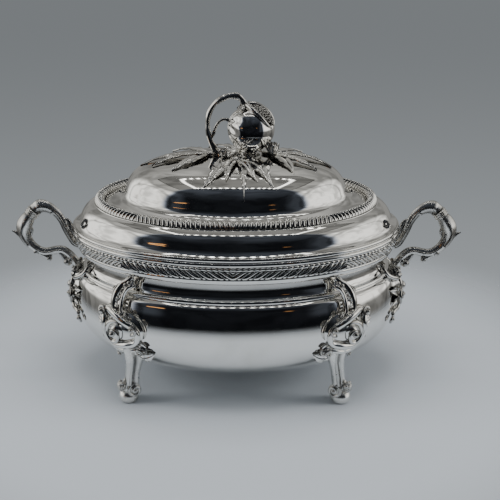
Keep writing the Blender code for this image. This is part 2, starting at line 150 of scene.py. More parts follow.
def sweep(stops, sides=12, steps=4, section=None, flat=1.0, up=None, shade_and_tarnish=None):
    """A rounded tube through (x, y, z, radius) stops.

    section(angle, share) scales its radius and flat its height. The last argument, a function of angle, is how
    dark the painted shade round its outline is.
    """
    line = route(stops, steps)
    places = [Vector(s[:3]) for s in line]
    radii = [s[3] for s in line]
    rows = []
    normal = up or Vector((0.0, 1.0, 0.0))
    for i, place in enumerate(places):
        along = (places[min(i + 1, len(places) - 1)] - places[max(i - 1, 0)]).normalized()
        if abs(normal.dot(along)) > 0.99:
            normal = along.orthogonal()
        normal = (normal - along * normal.dot(along)).normalized()
        across = along.cross(normal)
        share = i / (len(places) - 1)
        row = []
        for j in range(sides):
            angle = 2 * math.pi * j / sides
            reach = radii[i] * (section(angle, share) if section else 1.0)
            row.append(place + (across * math.cos(angle) + normal * math.sin(angle) * flat) * reach)
        rows.append(row)
    points, faces = capped(rows)
    if shade_and_tarnish is None:
        return points, faces
    # Painted shade for each point, by its angle round the outline.
    ring = [shade_and_tarnish(2 * math.pi * j / sides) for j in range(sides)]
    return points, faces, [*ring * len(rows), ring[0], ring[0]]


def bead(centre, radii, turn=None, segments=12, rings=7):
    """A small ball, squashed along its own axes."""
    rows = []
    for i in range(1, rings):
        polar = math.pi * i / rings
        row = []
        for j in range(segments):
            angle = 2 * math.pi * j / segments
            spot = Vector(a * b for a, b in zip(direction(polar, angle), radii))
            row.append(Vector(centre) + (turn @ spot if turn else spot))
        rows.append(row)
    return capped(rows)


def relief(place, outline, height, rings=14, segments=72):
    """A raised ornament on a surface. outline(angle) is its reach and height(share, angle) its height."""
    rows = []
    for i in range(1, rings + 2):
        share = min(i / rings, 1.0)
        row = []
        for j in range(segments):
            angle = 2 * math.pi * j / segments
            reach = outline(angle) * share
            lift = height(share, angle) if i <= rings else -SKIRT
            row.append(place(reach * math.cos(angle), reach * math.sin(angle), lift))
        rows.append(row)
    return capped(rows)


def scroll(place, centre, size, turns, thick, start, hand=1, lift=2.0, rise=1.5, sides=8):
    """A volute that winds in to a raised eye, laid on a surface."""
    count = max(8, int(16 * turns))
    stops = []
    for i in range(count + 1):
        share = i / count
        angle = start + hand * 2 * math.pi * turns * share
        reach = size * (1 - share) ** 0.85 + 0.12 * size
        x, y = centre[0] + reach * math.cos(angle), centre[1] + reach * math.sin(angle)
        stops.append((*place(x, y, lift + rise * share), thick * (1 - 0.45 * share)))
    eye = place(centre[0], centre[1], lift + rise)
    return [sweep(stops, sides=sides, steps=1), bead(eye, (thick * 1.15,) * 3)]


def strap(place, stops, sides=10, steps=5, flat=1.0):
    """A band over a surface through (sideways, up, out, radius) stops."""
    return sweep([(*place(x, y, out), r) for x, y, out, r in stops], sides=sides, steps=steps, flat=flat)


def leaf(place, root, tip, half_width, lift=1.0, arch=1.6, bend=0.0, ripples=4.0, steps=16):
    """A pointed leaf with a midrib, side veins and a rippled edge, over a surface."""
    root, tip = Vector(root), Vector(tip)
    along = tip - root
    side = Vector((-along.y, along.x)).normalized()
    across = [-1.0, -0.75, -0.5, -0.25, -0.08, 0.0, 0.08, 0.25, 0.5, 0.75, 1.0]
    rows = []
    for i in range(steps + 1):
        share = i / steps
        width = half_width * max(math.sin(math.pi * share ** 0.85), 0.0) ** 0.75
        width = max(width * (1 + 0.10 * math.sin(share * 36.0)), 0.12 * half_width * (1 - share) + 0.05)
        middle = root + along * share + side * bend * math.sin(math.pi * share)
        top, under = [], []
        for v in across:
            spot = middle + side * width * v
            ripple = 0.35 * math.sin(share * ripples * WAVE + v * 2.0) * abs(v)
            vein = 0.28 * math.sin((share * 9.0 - abs(v) * 1.6) * WAVE) * abs(v) * (1 - abs(v)) * 2.0
            midrib = 0.85 * math.exp(-abs(v) * 9.0)
            height = lift + arch * math.sin(math.pi * min(share * 0.9 + 0.08, 1.0)) + midrib
            height += 0.7 * v * v * math.sin(math.pi * share) + ripple + vein
            top.append(place(spot.x, spot.y, height))
            under.append(place(spot.x, spot.y, height - 0.8))
        rows.append(top + under[::-1])
    return capped(rows)


# ---- the surfaces that ornaments lie on
def oval(half_length, height, angle):
    """A point on the oval of that half length."""
    return Vector((half_length * math.cos(angle), WIDTH_RATIO * half_length * math.sin(angle), height))


def reach_at(profile, height):
    """A falling profile's half length at a height."""
    for (a1, z1), (a2, z2) in zip(profile, profile[1:]):
        if min(z1, z2) <= height <= max(z1, z2) and z1 != z2:
            return a1 + (a2 - a1) * (height - z1) / (z2 - z1)
    return profile[-1][0]


BODY_LINE = [*NECK, *BEAD, *BULGE]
LID_LINE = [*DOME, *COVE, *SEAT, *SHOULDER, *LID_EDGE]


def bowl_surface(angle, height, inward=1):
    """A function of (sideways, up, out) round a place on the bowl. inward, 1 or -1, turns sideways round."""
    pace = reach_at(BODY_LINE, height) * math.hypot(math.sin(angle), WIDTH_RATIO * math.cos(angle))

    def place(sideways, up, out):
        turned = angle + inward * sideways / pace
        z = max(height + up, FLOOR_OUT + 4.0)
        rise = (reach_at(BODY_LINE, max(z - 3.0, FLOOR_OUT + 1.0)) - reach_at(BODY_LINE, z + 3.0)) / 6.0
        normal = Vector((WIDTH_RATIO * math.cos(turned), math.sin(turned), 0.0)).normalized()
        normal.z = rise
        return oval(reach_at(BODY_LINE, z), z, turned) + normal.normalized() * out

    return place


def lid_surface(x, y, out):
    """The point that far above the lid."""
    half_length = math.hypot(x, y / WIDTH_RATIO)
    for (a1, z1), (a2, z2) in zip(LID_LINE, LID_LINE[1:]):
        if a1 <= half_length <= a2 and a2 > a1:
            return Vector((x, y, z1 + (z2 - z1) * (half_length - a1) / (a2 - a1) + out))
    return Vector((x, y, DOME_TOP + out))


def fruit_surface(middle, along):
    """A function of (along, across, out) over the fruit, round a middle direction and towards another."""
    middle = Vector(middle).normalized()
    first = (Vector(along) - middle * Vector(along).dot(middle)).normalized()
    second = middle.cross(first)

    def place(x, y, out):
        reach = math.hypot(x, y) or 0.001
        bend = reach / FRUIT_RADIUS
        way = middle * math.cos(bend) + (first * x + second * y) / reach * math.sin(bend)
        return FRUIT_CENTRE + way * (FRUIT_RADIUS + out)

    return place


# ---- materials
def ramp(tree, source, low, high, dark, light):
    """A smooth step from dark to light as the source goes from low to high."""
    node = tree.nodes.new("ShaderNodeMapRange")
    node.interpolation_type = "SMOOTHSTEP"
    node.inputs["From Min"].default_value = low
    node.inputs["From Max"].default_value = high
    node.inputs["To Min"].default_value = dark
    node.inputs["To Max"].default_value = light
    tree.links.new(source, node.inputs["Value"])
    return node.outputs["Result"]


def noise(tree, scale, detail=3.0):
    """Noise over the piece's own coordinates."""
    where = tree.nodes.new("ShaderNodeTexCoord")
    node = tree.nodes.new("ShaderNodeTexNoise")
    node.inputs["Scale"].default_value = scale
    node.inputs["Detail"].default_value = detail
    tree.links.new(where.outputs["Object"], node.inputs["Vector"])
    return node.outputs["Fac"]


def blend(tree, share, first, second):
    """The first colour where share is 0 and the second where it is 1."""
    node = tree.nodes.new("ShaderNodeMix")
    node.data_type = "RGBA"
    for socket, value in ((0, share), (6, first), (7, second)):
        if isinstance(value, tuple):
            node.inputs[socket].default_value = value
        else:
            tree.links.new(value, node.inputs[socket])
    return node.outputs[2]


def blank(name):
    """A new material, its node tree and its shader."""
    material = bpy.data.materials.new(name)
    material.use_nodes = True
    return material, material.node_tree, material.node_tree.nodes["Principled BSDF"]


def metal(name, bright, dull, smoothness, ripple, shade_and_tarnish=0.0):
    """Metal named for its slot and finish, with faint tarnish and fine wipe marks.

    Its last argument is how dark the painted shade in its recesses is, partly tarnish; above 0 the painted
    shade that each point carries shows too. smoothness is its lowest and highest roughness.
    """
    material, tree, shader = blank(name)
    shader.inputs["Metallic"].default_value = 1.0
    tarnish = ramp(tree, noise(tree, 28.0), 0.45, 0.75, 0.0, 1.0)
    colour = blend(tree, tarnish, (*bright, 1.0), (*dull, 1.0))
    # Painted shade: recesses found by pointiness, and each point's own painted shade, both in the dark shade
    # colour.
    if shade_and_tarnish > 0:
        shape = tree.nodes.new("ShaderNodeNewGeometry")
        hollow = ramp(tree, shape.outputs["Pointiness"], 0.38, 0.474, shade_and_tarnish, 0.0)
        depth = tree.nodes.new("ShaderNodeAttribute")
        depth.attribute_name = "hollow"
        deepest = tree.nodes.new("ShaderNodeMath")
        deepest.operation = "MAXIMUM"
        tree.links.new(hollow, deepest.inputs[0])
        tree.links.new(depth.outputs["Fac"], deepest.inputs[1])
        colour = blend(tree, deepest.outputs[0], colour, SHADE_AND_TARNISH)
    tree.links.new(colour, shader.inputs["Base Color"])
    tree.links.new(ramp(tree, noise(tree, 90.0), 0.3, 0.8, *smoothness), shader.inputs["Roughness"])
    bump = tree.nodes.new("ShaderNodeBump")
    bump.inputs["Strength"].default_value = 0.15
    bump.inputs["Distance"].default_value = ripple
    tree.links.new(noise(tree, 55.0, 1.0), bump.inputs["Height"])
    tree.links.new(bump.outputs["Normal"], shader.inputs["Normal"])
    return material


POLISHED = metal("polished_silver_bright", (0.90, 0.89, 0.865), (0.80, 0.785, 0.75), (0.035, 0.075), 0.0004)
CAST = metal("cast_silver_crisp", (0.88, 0.87, 0.84), (0.76, 0.74, 0.70), (0.08, 0.15), 0.0006, shade_and_tarnish=0.8)
WORN = metal("cast_silver_worn", (0.88, 0.87, 0.84), (0.74, 0.72, 0.68), (0.22, 0.32), 0.0006, shade_and_tarnish=0.8)
BRASS = metal("fitting_brass_plain", (0.80, 0.63, 0.34), (0.62, 0.46, 0.23), (0.22, 0.36), 0.0004)


def joined(name, shapes, material, body, nodes):
    """One piece made of shapes. It stands for those CAD nodes, which it hides.

    A shape is (points, faces), and may add how dark each point's painted shade is.
    """
    points, faces, painted_shades = [], [], []
    for shape_points, shape_faces, *shape_shades in shapes:
        faces += [tuple(i + len(points) for i in face) for face in shape_faces]
        points += [p * MM for p in shape_points]
        painted_shades += shape_shades[0] if shape_shades else [0.0] * len(shape_points)
    mesh = bpy.data.meshes.new(name)
    mesh.from_pydata(points, [], faces)
    mesh.validate()
    # Each point's painted shade is stored on the mesh for the material to darken.
    mesh.attributes.new("hollow", "FLOAT", "POINT").data.foreach_set("value", painted_shades)
    mesh.materials.append(material)
    mesh.shade_smooth()
    mesh.set_sharp_from_angle(angle=SHARP_EDGE)
    piece = bpy.data.objects.new(name, mesh)
    bpy.context.scene.collection.objects.link(piece)
    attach(piece, body)
    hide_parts(*nodes)
    return piece


# ---- bowl and lid
def hoop(half_length, height):
    """A ring of points round the oval."""
    return [oval(half_length, height, 2 * math.pi * j / OVAL_STEPS) for j in range(OVAL_STEPS)]


def turned(stretches, steps=5):
    """Turns smooth stretches of (half length, height) into rows of an oval shell's skin."""
    return [hoop(*stop) for stretch in stretches for stop in route(stretch, steps)]


def inner(stretch):
    """The stretch moved inwards by the wall."""
    moved = []
    for i, (half_length, height) in enumerate(stretch):
        before = Vector(stretch[max(i - 1, 0)])
        after = Vector(stretch[min(i + 1, len(stretch) - 1)])
        along = (after - before).normalized()
        moved.append((max(half_length + along.y * WALL, 0.01), height - along.x * WALL))
    return moved


def build_bowl():
    outside = turned([NECK, BEAD, BULGE])
    inside = turned([inner([*NECK, *BULGE[1:]])])
    lip = turned([[(142.6, 143.5), (142.2, 143.8), (141.5, 143.8), (141.1, 143.5)]], 2)
    skin = grid([*inside[::-1], *lip[::-1], *outside], wrap_columns=True)
    joined("bowl", [skin], POLISHED, "tureen", ["bowl_shell"])


def build_lid():
    """Dome and shoulder share one smooth curve, so that no line shows between them."""
    steps = 5
    curve = route([*DOME, *COVE], steps)
    seam = (len(DOME) - 1) * steps
    dome = [*turned([curve[:seam + 1]], 1), *turned([inner(DOME)])[::-1]]
    joined("dome", [grid(dome, wrap_columns=True)], POLISHED, "cover", ["lid_dome"])
    outside = [*turned([curve[seam:]], 1), *turned([SEAT, SHOULDER, LID_EDGE])]
    inside = turned([inner([DOME[-1], *COVE, *SHOULDER[1:], LID_EDGE[-1]])])
    shoulder = grid([*outside, *inside[::-1]], wrap_rows=True, wrap_columns=True)
    joined("shoulder", [shoulder], POLISHED, "cover", ["lid_shoulder"])


def build_lid_edge():
    """Two reeds round the lid's lower edge."""
    reed_radius = 1.9
    reeds = [(153.5, 152.6)]
    for middle in (151.0, 146.7):
        for i in range(9):
            angle = math.pi * (0.5 - i / 8)
            reeds.append((154.0 + reed_radius * math.cos(angle), middle + reed_radius * math.sin(angle)))
    reeds += [(153.7, 144.5), (153.5, 144.5)]
    edge = grid(turned([reeds], 1), wrap_rows=True, wrap_columns=True)
    joined("lid_edge", [edge], POLISHED, "cover", ["lid_reeded_edge"])


def quarter_angles(half_length, columns):
    """Oval angles evenly spaced over a quarter, their distances from its start, and its length."""
    fine = np.linspace(0.0, math.pi / 2, 721)
    pace = half_length * np.hypot(np.sin(fine), WIDTH_RATIO * np.cos(fine))
    length = np.concatenate([[0.0], np.cumsum((pace[1:] + pace[:-1]) / 2 * np.diff(fine))])
    wanted = np.linspace(0.0, length[-1], columns + 1)
    return np.interp(wanted, length, fine), wanted, length[-1]


def ribbed(phase, bands):
    """The height, 0 to 1, across one repeat made of rounded bands: (start, end, height)."""
    for start, end, height in bands:
        if start < phase < end:
            return height * math.sin(math.pi * (phase - start) / (end - start)) ** 0.7
    return 0.0


def gadroons(section, lobes, slant, depth, bands, per_lobe):
    """A ring of slanting lobes that turn back at every axis of the oval and half way between.

    lobes is how many fill a quarter, and depth how far the gaps between them sink.
    """
    middle = sum(a for a, z in section) / len(section)
    angles, distances, length = quarter_angles(middle, lobes * per_lobe)
    pitch = length / lobes
    first = [(angle, min(d, length - d)) for angle, d in zip(angles, distances)]
    second = [(math.pi - angle, d) for angle, d in reversed(first[:-1])]
    half = [*first, *second][:-1]
    rows, painted_shades = [], []
    for spot, distance in [*half, *((math.pi + angle, d) for angle, d in half)]:
        row = []
        for i, (a, z) in enumerate(section):
            share = i / (len(section) - 1)
            height = ribbed((distance / pitch + slant * share) % 1.0, bands)
            sink = depth * (1.0 - height) * math.sin(math.pi * share) ** 0.4
            before, after = Vector(section[max(i - 1, 0)]), Vector(section[min(i + 1, len(section) - 1)])
            along = (after - before).normalized()
            row.append(oval(a + along.y * sink, z - along.x * sink, spot))
            # Painted shade in the gaps between lobes, standing partly for tarnish there.
            painted_shades.append(0.95 * (1.0 - height) ** 1.6)
        rows.append(row)
    return (*grid(rows, wrap_rows=True), painted_shades)


def arc(centre, radii, start, end, count):
    """Points of an upright ellipse from one angle to another, in degrees."""
    swing = [math.radians(start + (end - start) * i / (count - 1)) for i in range(count)]
    return [(centre[0] + radii[0] * math.cos(t), centre[1] + radii[1] * math.sin(t)) for t in swing]


def build_borders():
    broad = [(0.0, 0.56, 1.0), (0.60, 0.96, 0.8)]
    bowl_lobes = gadroons(arc((148.4, 137.2), (5.6, 5.4), 66, -62, 13), 21, 1.35, 2.8, broad, 20)
    bowl_bead = gadroons(arc((150.6, 142.0), (2.0, 2.0), 150, -60, 7), 42, 0.5, 1.3, [(0.0, 1.0, 1.0)], 8)
    fillet = turned([[(143.2, 143.2), (147.0, 143.4), (149.0, 143.2)]], 1)
    plain = [(151.0, 133.0), (151.4, 131.8), (150.9, 130.2), (149.6, 128.0), (147.4, 126.6), (143.2, 126.4)]
    bands = [grid(rows, wrap_columns=True) for rows in (fillet, turned([plain], 4))]
    joined("bowl_border", [bowl_lobes, bowl_bead, *bands], CAST, "tureen", ["bowl_gadroon_border"])
    narrow = [(0.0, 0.66, 1.0), (0.70, 0.98, 0.7)]
    lid_lobes = gadroons(arc((129.2, SEAT_HEIGHT + 0.2), (4.7, 6.2), 172, 4, 13), 42, 1.15, 1.8, narrow, 10)
    joined("lid_border", [lid_lobes], CAST, "cover", ["lid_gadroon_border"])


# ---- feet
def build_knee(place):
    """The shell cartouche on a foot's knee. Sideways runs from its middle towards the front's middle."""
    shapes = [relief(place, ellipse(20.0, 18.0), lambda share, angle: 7.0 * (1 - share ** 2.4))]
    shapes.append(relief(
        lambda x, y, out: place(x - 5.0, y - 0.8, out), ellipse(11.5, 12.5),
        lambda share, angle: 9.5 * (1 - share ** 2) + 1.0 * math.sin(3.0 * angle + 9.0 * share) * share + 1.5,
    ))
    shapes += scroll(place, (-5.0, -0.8), 9.6, 1.3, 2.4, math.radians(60), 1, lift=7.5, rise=4.0, sides=10)
    shapes.append(strap(place, [
        (-20.0, 16.5, 3.0, 2.2), (-13.0, 17.5, 5.4, 3.8), (-5.0, 15.5, 7.5, 4.4), (5.0, 11.0, 8.0, 4.2),
        (13.5, 6.6, 7.0, 3.6), (17.6, 0.0, 6.0, 3.2), (14.5, -6.4, 6.0, 3.2), (5.0, -9.4, 7.6, 3.7),
        (-6.0, -11.0, 7.6, 3.5), (-15.0, -12.0, 5.0, 2.4),
    ], sides=16, steps=6, flat=0.8))
    shapes.append(strap(place, [
        (-22.0, 13.0, 3.0, 2.4), (-19.5, 6.0, 4.4, 3.2), (-20.0, -2.0, 4.6, 3.2), (-16.0, -10.0, 5.0, 2.8),
        (-8.0, -15.5, 5.5, 2.8), (4.0, -15.0, 6.6, 2.9), (14.0, -13.4, 5.6, 2.4), (20.0, -15.6, 3.0, 1.6),
    ], sides=14, steps=6, flat=0.8))
    shapes += scroll(place, (15.0, 6.0), 3.8, 1.2, 1.6, math.radians(250), 1, lift=10.0, rise=2.0)
    shapes += scroll(place, (-23.0, 14.5), 4.4, 1.3, 1.7, math.radians(330), 1, lift=4.5, rise=2.5)
    for tip, width in (((-29.0, 12.0), 2.6), ((-31.5, 6.0), 3.0), ((-30.0, -0.5), 2.6), ((-26.5, -6.0), 2.0)):
        shapes.append(leaf(place, (-16.0, 3.5), tip, width, lift=1.5, arch=2.4))
    pearls = [(-22.0, -8.0, 4.0, 2.2), (5.0, 14.6, 9.5, 2.0), (9.4, 12.2, 9.0, 1.8), (1.5, 17.0, 8.0, 1.8)]
    for x, y, out, size in pearls:
        shapes.append(bead(place(x, y, out), (size,) * 3))
    shapes.append(relief(
        lambda x, y, out: place(x + 6.5, y - 18.5, out), ellipse(13.5, 8.0),
        lambda share, angle: 6.5 * (1 - share ** 2) + 1.0 * share * math.cos(4 * angle), rings=8, segments=40,
    ))
    for x, y in ((16.4, -15.4), (-6.5, -19.5)):
        shapes += scroll(place, (x, y), 3.2, 1.1, 1.3, 0.0, 1, lift=6.5, rise=2.0)
    shapes.append(leaf(place, (11.0, -20.5), (28.0, -19.0), 4.0, lift=1.2, arch=3.4, bend=-1.5))
    shapes.append(leaf(place, (8.0, -20.0), (20.0, -25.0), 3.0, lift=1.2, arch=2.6))
    shapes.append(leaf(place, (2.0, -18.0), (-10.0, -22.0), 3.0, lift=1.5, arch=2.6))
    return shapes


def build_bracket(place):
    """The pierced scroll between the knee and the rim."""
    outer = [
        (3.5, 50.0, 5.0, 2.2), (-0.5, 46.0, 7.5, 2.9), (-4.5, 40.0, 9.0, 3.2), (-6.5, 32.0, 9.0, 3.2),
        (-7.0, 23.5, 7.0, 2.9), (-4.0, 15.0, 6.0, 2.6),
    ]
    inside = [
        (4.0, 46.5, 6.0, 1.8), (5.0, 41.0, 8.5, 2.0), (3.5, 35.0, 9.0, 1.9), (0.5, 28.0, 7.5, 1.8),
        (0.5, 21.0, 6.5, 1.8), (3.5, 15.5, 6.5, 1.6),
    ]
    shapes = [strap(place, outer, sides=14, flat=0.7), strap(place, inside)]
    edge = [(x - 2.6, y + 0.8, out + 0.8, 1.1) for x, y, out, radius in outer]
    shapes.append(strap(place, edge, sides=8))
    shapes += scroll(place, (6.2, 16.2), 3.6, 1.2, 1.3, math.radians(180), 1, lift=6.0, rise=1.5)
    shapes += scroll(place, (-11.6, 33.0), 2.6, 1.1, 1.1, 0.0, 1, lift=6.0, rise=1.5)
    leaves = 6
    for i in range(leaves):
        share = i / (leaves - 1)
        x, y = -4.4 + 3.6 * share ** 1.6, 19.0 + 21.0 * share
        shapes.append(leaf(place, (x - 2.0, y + 0.6), (x + 3.4, y - 0.8), 1.5, lift=8.0, arch=0.6, steps=8))
    pearls = [(2.5, 45.5, 9.0, 2.2), (-0.5, 41.5, 10.5, 2.0), (7.5, 37.0, 8.0, 1.9), (-3.5, 27.0, 9.0, 1.5)]
    for x, y, out, size in pearls:
        shapes.append(bead(place(x, y, out), (size,) * 3))
    return shapes


def leg_section(angle, share):
    """A leg's outline: a keel at its front and hollow cheeks."""
    return 1.0 + 0.22 * math.cos(3 * angle) - 0.12 * math.cos(2 * angle)


LEG = [
    (93.0, 90.5, 63.0, 7.8), (91.2, 89.8, 52.0, 7.4), (92.4, 86.4, 41.0, 6.2), (94.0, 83.4, 31.0, 5.5),
    (95.2, 81.4, 22.0, 5.6), (96.6, 79.6, 13.0, 6.2),
]
TOE_ROLL = [(-6.5, 5.0), (-4.5, 6.2), (0.0, 5.6), (4.5, 6.2), (6.5, 5.0)]
TOE_LEAVES = [(11.0, 0.0, 3.0), (8.0, 4.6, 2.4), (8.0, -4.6, 2.4), (3.5, 6.0, 2.0), (3.5, -6.0, 2.0)]
TOE_TURNS = 1.6
TOE_STEPS = 32
TOE_PAD = [(0.2, 0.0), (6.2, 0.0), (7.6, 0.7), (8.9, 2.6), (9.4, 5.4), (8.8, 8.4), (6.8, 11.2), (2.0, 13.0)]


def build_leg(x_sign, y_sign):
    """A leg with its scroll toe, the leaves and rosette on the toe, and the pad under it."""
    pad = Vector((x_sign * FOOT_PAD[0], y_sign * FOOT_PAD[1], 0.0))
    out = Vector((x_sign * FOOT_OUTWARD.x, y_sign * FOOT_OUTWARD.y, 0.0))
    side = Vector((-out.y, out.x, 0.0))
    toe = Vector((x_sign * TOE_CENTRE[0], y_sign * TOE_CENTRE[1], TOE_CENTRE[2]))
    rise = Vector((0.0, 0.0, 1.0))
    shaft = [(x_sign * x, y_sign * y, z, radius) for x, y, z, radius in LEG]

    def beside(outward, sideways, radius):
        """The shaft's stops moved aside, as a thin edge along it."""
        return [(*(Vector(stop[:3]) + out * outward + side * sideways), radius) for stop in shaft]

    # Painted shade in the hollows between the leg's ridges.
    def groove_shade(angle):
        return 0.8 * max(0.0, -math.cos(3 * angle)) ** 2

    shapes = [sweep(shaft, sides=48, steps=8, section=leg_section, up=out, shade_and_tarnish=groove_shade)]
    for edge in (-1, 1):
        shapes.append(sweep(beside(3.2, edge * 5.0, 1.5), sides=8, steps=5))
        shapes.append(sweep(beside(5.2, edge * 1.8, 1.1), sides=8, steps=5))
        whorl = []
        for i in range(TOE_STEPS + 1):
            share = i / TOE_STEPS
            angle = math.radians(80) - 2 * math.pi * TOE_TURNS * share
            reach = 6.0 * (1 - share) ** 0.8 + 0.6
            spot = toe + out * reach * math.cos(angle) + rise * reach * math.sin(angle)
            spot += side * edge * (5.6 + 3.0 * share)
            whorl.append((*spot, 1.9 - 0.8 * share))
        shapes.append(sweep(whorl, sides=8, steps=1, up=side))
        shapes.append(bead(toe + side * edge * 8.6, (1.9, 1.9, 1.9)))
    roll = [(*(toe + side * aside), radius) for aside, radius in TOE_ROLL]
    shapes.append(sweep(roll, sides=20, steps=3, up=rise))

    def toe_front(x, y, lift):
        """Down the front of the toe: x along it, y across."""
        swing = math.radians(75) - x / 7.5
        return toe + (out * math.cos(swing) + rise * math.sin(swing)) * (6.6 + lift) + side * y

    for x, y, width in TOE_LEAVES:
        shapes.append(leaf(toe_front, (-5.0, y * 0.3), (x, y), width, lift=0.6, arch=2.2, steps=10))
    knob = toe + out * 10.2 + rise * 4.0
    shapes.append(bead(knob, (4.8, 4.6, 4.8)))
    petals = 7
    for i in range(petals):
        swing = 2 * math.pi * i / petals
        petal = knob + (side * math.cos(swing) + rise * math.sin(swing)) * 4.2 + out * 1.0
        shapes.append(bead(petal, (1.7, 1.7, 1.7)))
        shapes.append(bead(petal + out * 2.2 - (petal - knob) * 0.35, (1.2, 1.2, 1.2)))
    circle = [2 * math.pi * j / 32 for j in range(32)]
    shapes.append(capped([
        [pad + out * r * math.cos(t) + side * r * math.sin(t) + rise * z for t in circle] for r, z in TOE_PAD
    ]))
    return shapes


def build_feet():
    for x_sign in (-1, 1):
        for y_sign in (-1, 1):
            corner = ("front" if y_sign < 0 else "back") + "_" + ("left" if x_sign < 0 else "right")
            angle = math.atan2(y_sign * math.sin(FOOT_ANGLE), x_sign * math.cos(FOOT_ANGLE))
            place = bowl_surface(angle, KNEE_HEIGHT, inward=x_sign * y_sign)
            joined("knee_" + corner, build_knee(place), CAST, "tureen", ["foot_shell_" + corner])
            joined("bracket_" + corner, build_bracket(place), CAST, "tureen", ["foot_bracket_" + corner])
            joined("leg_" + corner, build_leg(x_sign, y_sign), WORN, "tureen", ["foot_leg_" + corner])


# ---- handles
UPPER_ARM = [
    (152.2, 126.8, 2.8), (156.6, 129.6, 3.2), (160.2, 136.0, 3.4), (163.9, 143.5, 3.3), (167.0, 151.2, 3.3),
    (171.6, 158.3, 3.6), (177.4, 163.2, 4.4), (183.0, 165.6, 5.3), (187.6, 165.8, 5.7), (190.4, 164.4, 5.0),
    (192.2, 162.4, 5.6),
]
LOWER_ARM = [
    (197.9, 156.0, 5.0), (200.4, 152.8, 6.0), (203.6, 147.0, 6.6), (204.9, 140.6, 6.0), (202.9, 133.4, 4.9),
    (198.9, 127.2, 4.2), (193.2, 122.4, 3.7), (187.1, 119.9, 3.6), (180.2, 120.2, 3.6), (173.9, 121.8, 3.5),
    (168.0, 121.4, 3.6), (162.6, 117.6, 3.7), (158.0, 111.4, 3.9), (153.0, 104.4, 4.0),
]
UPPER_CURLS = [
    [(155.0, 134.0, 1.6), (158.2, 142.0, 2.0), (159.8, 149.0, 1.9), (163.2, 152.8, 1.4), (165.4, 150.6, 0.9)],
    [(170.0, 157.5, 1.4), (173.5, 163.6, 1.8), (177.0, 167.6, 1.2)],
    [(178.0, 164.0, 2.0), (184.0, 169.2, 1.7), (189.6, 170.6, 0.8)],
]
LOWER_CURLS = [
    [(203.0, 133.5, 1.6), (208.6, 136.2, 2.2), (212.6, 139.2, 1.6), (216.2, 140.8, 0.6)],
    [(199.0, 148.0, 1.8), (197.0, 141.0, 1.5), (198.6, 135.0, 0.8)],
    [(193.0, 119.6, 2.2), (187.0, 116.2, 2.4), (182.4, 113.6, 2.2), (180.4, 115.8, 1.6)],
    [(170.5, 119.0, 2.4), (167.4, 113.4, 2.6), (163.6, 109.0, 2.8), (160.0, 111.0, 2.6)],
]
MOUNT_BANDS = [
    [(12.0, -12.0, 3.5, 2.6), (22.0, -14.5, 3.0, 2.8), (31.0, -13.5, 2.4, 2.4), (37.0, -14.6, 2.4, 1.7)],
    [(14.0, 12.0, 3.5, 2.4), (24.0, 15.0, 3.0, 2.6), (32.0, 21.0, 2.6, 2.2), (33.0, 27.0, 2.6, 1.4)],
    [(3.0, 24.0, 4.0, 1.6), (12.0, 10.0, 5.0, 2.0), (10.0, -4.0, 6.0, 2.1), (2.5, -14.0, 5.0, 1.7)],
]
TIE_MIDDLE = Vector((195.3, 0.0, 159.3))
TIE_AXIS = Vector((0.61, 0.0, -0.79)).normalized()
TIE_LENGTH = 7.0
TIE_STEPS = 24


def arm_section(angle, share):
    """An arm's outline: a soft keel above and below."""
    return 1.0 + 0.10 * math.cos(2 * angle) + 0.07 * math.cos(4 * angle)


def build_handle(side_name, x_sign):
    """The tie and the two arms that it holds together. Their stops are (x, z, radius)."""
    flip = Matrix.Diagonal((x_sign, 1.0, 1.0))

    def stops(points, y=0.0):
        return [(x_sign * x, y, z, r) for x, z, r in points]

    def under(angle):
        """Painted shade on the side that faces the hand's gap."""
        return 0.9 * max(0.0, -x_sign * math.cos(angle) - 0.1) ** 0.6

    def side_shade(angle):
        """Painted shade along both sides, leaving the middle undarkened."""
        return 0.9 * max(0.0, abs(math.cos(angle)) - 0.7) ** 0.5

    upper = [sweep(stops(UPPER_ARM), sides=20, steps=7, section=arm_section, shade_and_tarnish=under)]
    lower = [sweep(stops(LOWER_ARM), sides=20, steps=7, section=arm_section, shade_and_tarnish=side_shade)]
    for y in (-2.9, 2.9):
        upper.append(sweep(stops([(x, z, 1.2) for x, z, r in UPPER_ARM[:7]], y), sides=8, steps=6))
        lower.append(sweep(stops([(x, z, 1.2) for x, z, r in LOWER_ARM[5:]], y), sides=8, steps=6))
        outer_edge = [(x + 1.5, z, 1.3) for x, z, r in LOWER_ARM[1:6]]
        lower.append(sweep(stops(outer_edge, y * 1.6), sides=8, steps=6))
    upper += [sweep(stops(curl), sides=8, steps=5) for curl in UPPER_CURLS]
    lower += [sweep(stops(curl), sides=8, steps=5) for curl in LOWER_CURLS]
    for x, z, r in ((181.8, 112.9, 2.8), (164.0, 109.6, 4.4), (160.8, 111.6, 3.6)):
        lower.append(bead((x_sign * x, 0.0, z), (r, r * 1.2, r)))
    for arm, x, z, r in ((lower, 193.5, 120.0, 3.6), (upper, 175.6, 160.6, 3.7)):
        arm.append(bead((x_sign * x, 0.0, z), (r, r * 1.1, r)))

    tie = []
    for i in range(TIE_STEPS + 1):
        share = i / TIE_STEPS
        swell = 5.2 + 1.7 * abs(math.sin(3 * math.pi * share)) ** 0.6
        spot = TIE_MIDDLE + TIE_AXIS * (share - 0.5) * TIE_LENGTH
        tie.append((*(flip @ spot), swell))
    ring = sweep(tie, sides=24, steps=1)
    joined("handle_tie_ring_" + side_name, [ring], WORN, "tureen", ["handle_tie_" + side_name])
    joined("upper_arm_" + side_name, upper, WORN, "tureen", ["handle_upper_arm_" + side_name])
    joined("lower_arm_" + side_name, lower, WORN, "tureen", ["handle_lower_arm_" + side_name])


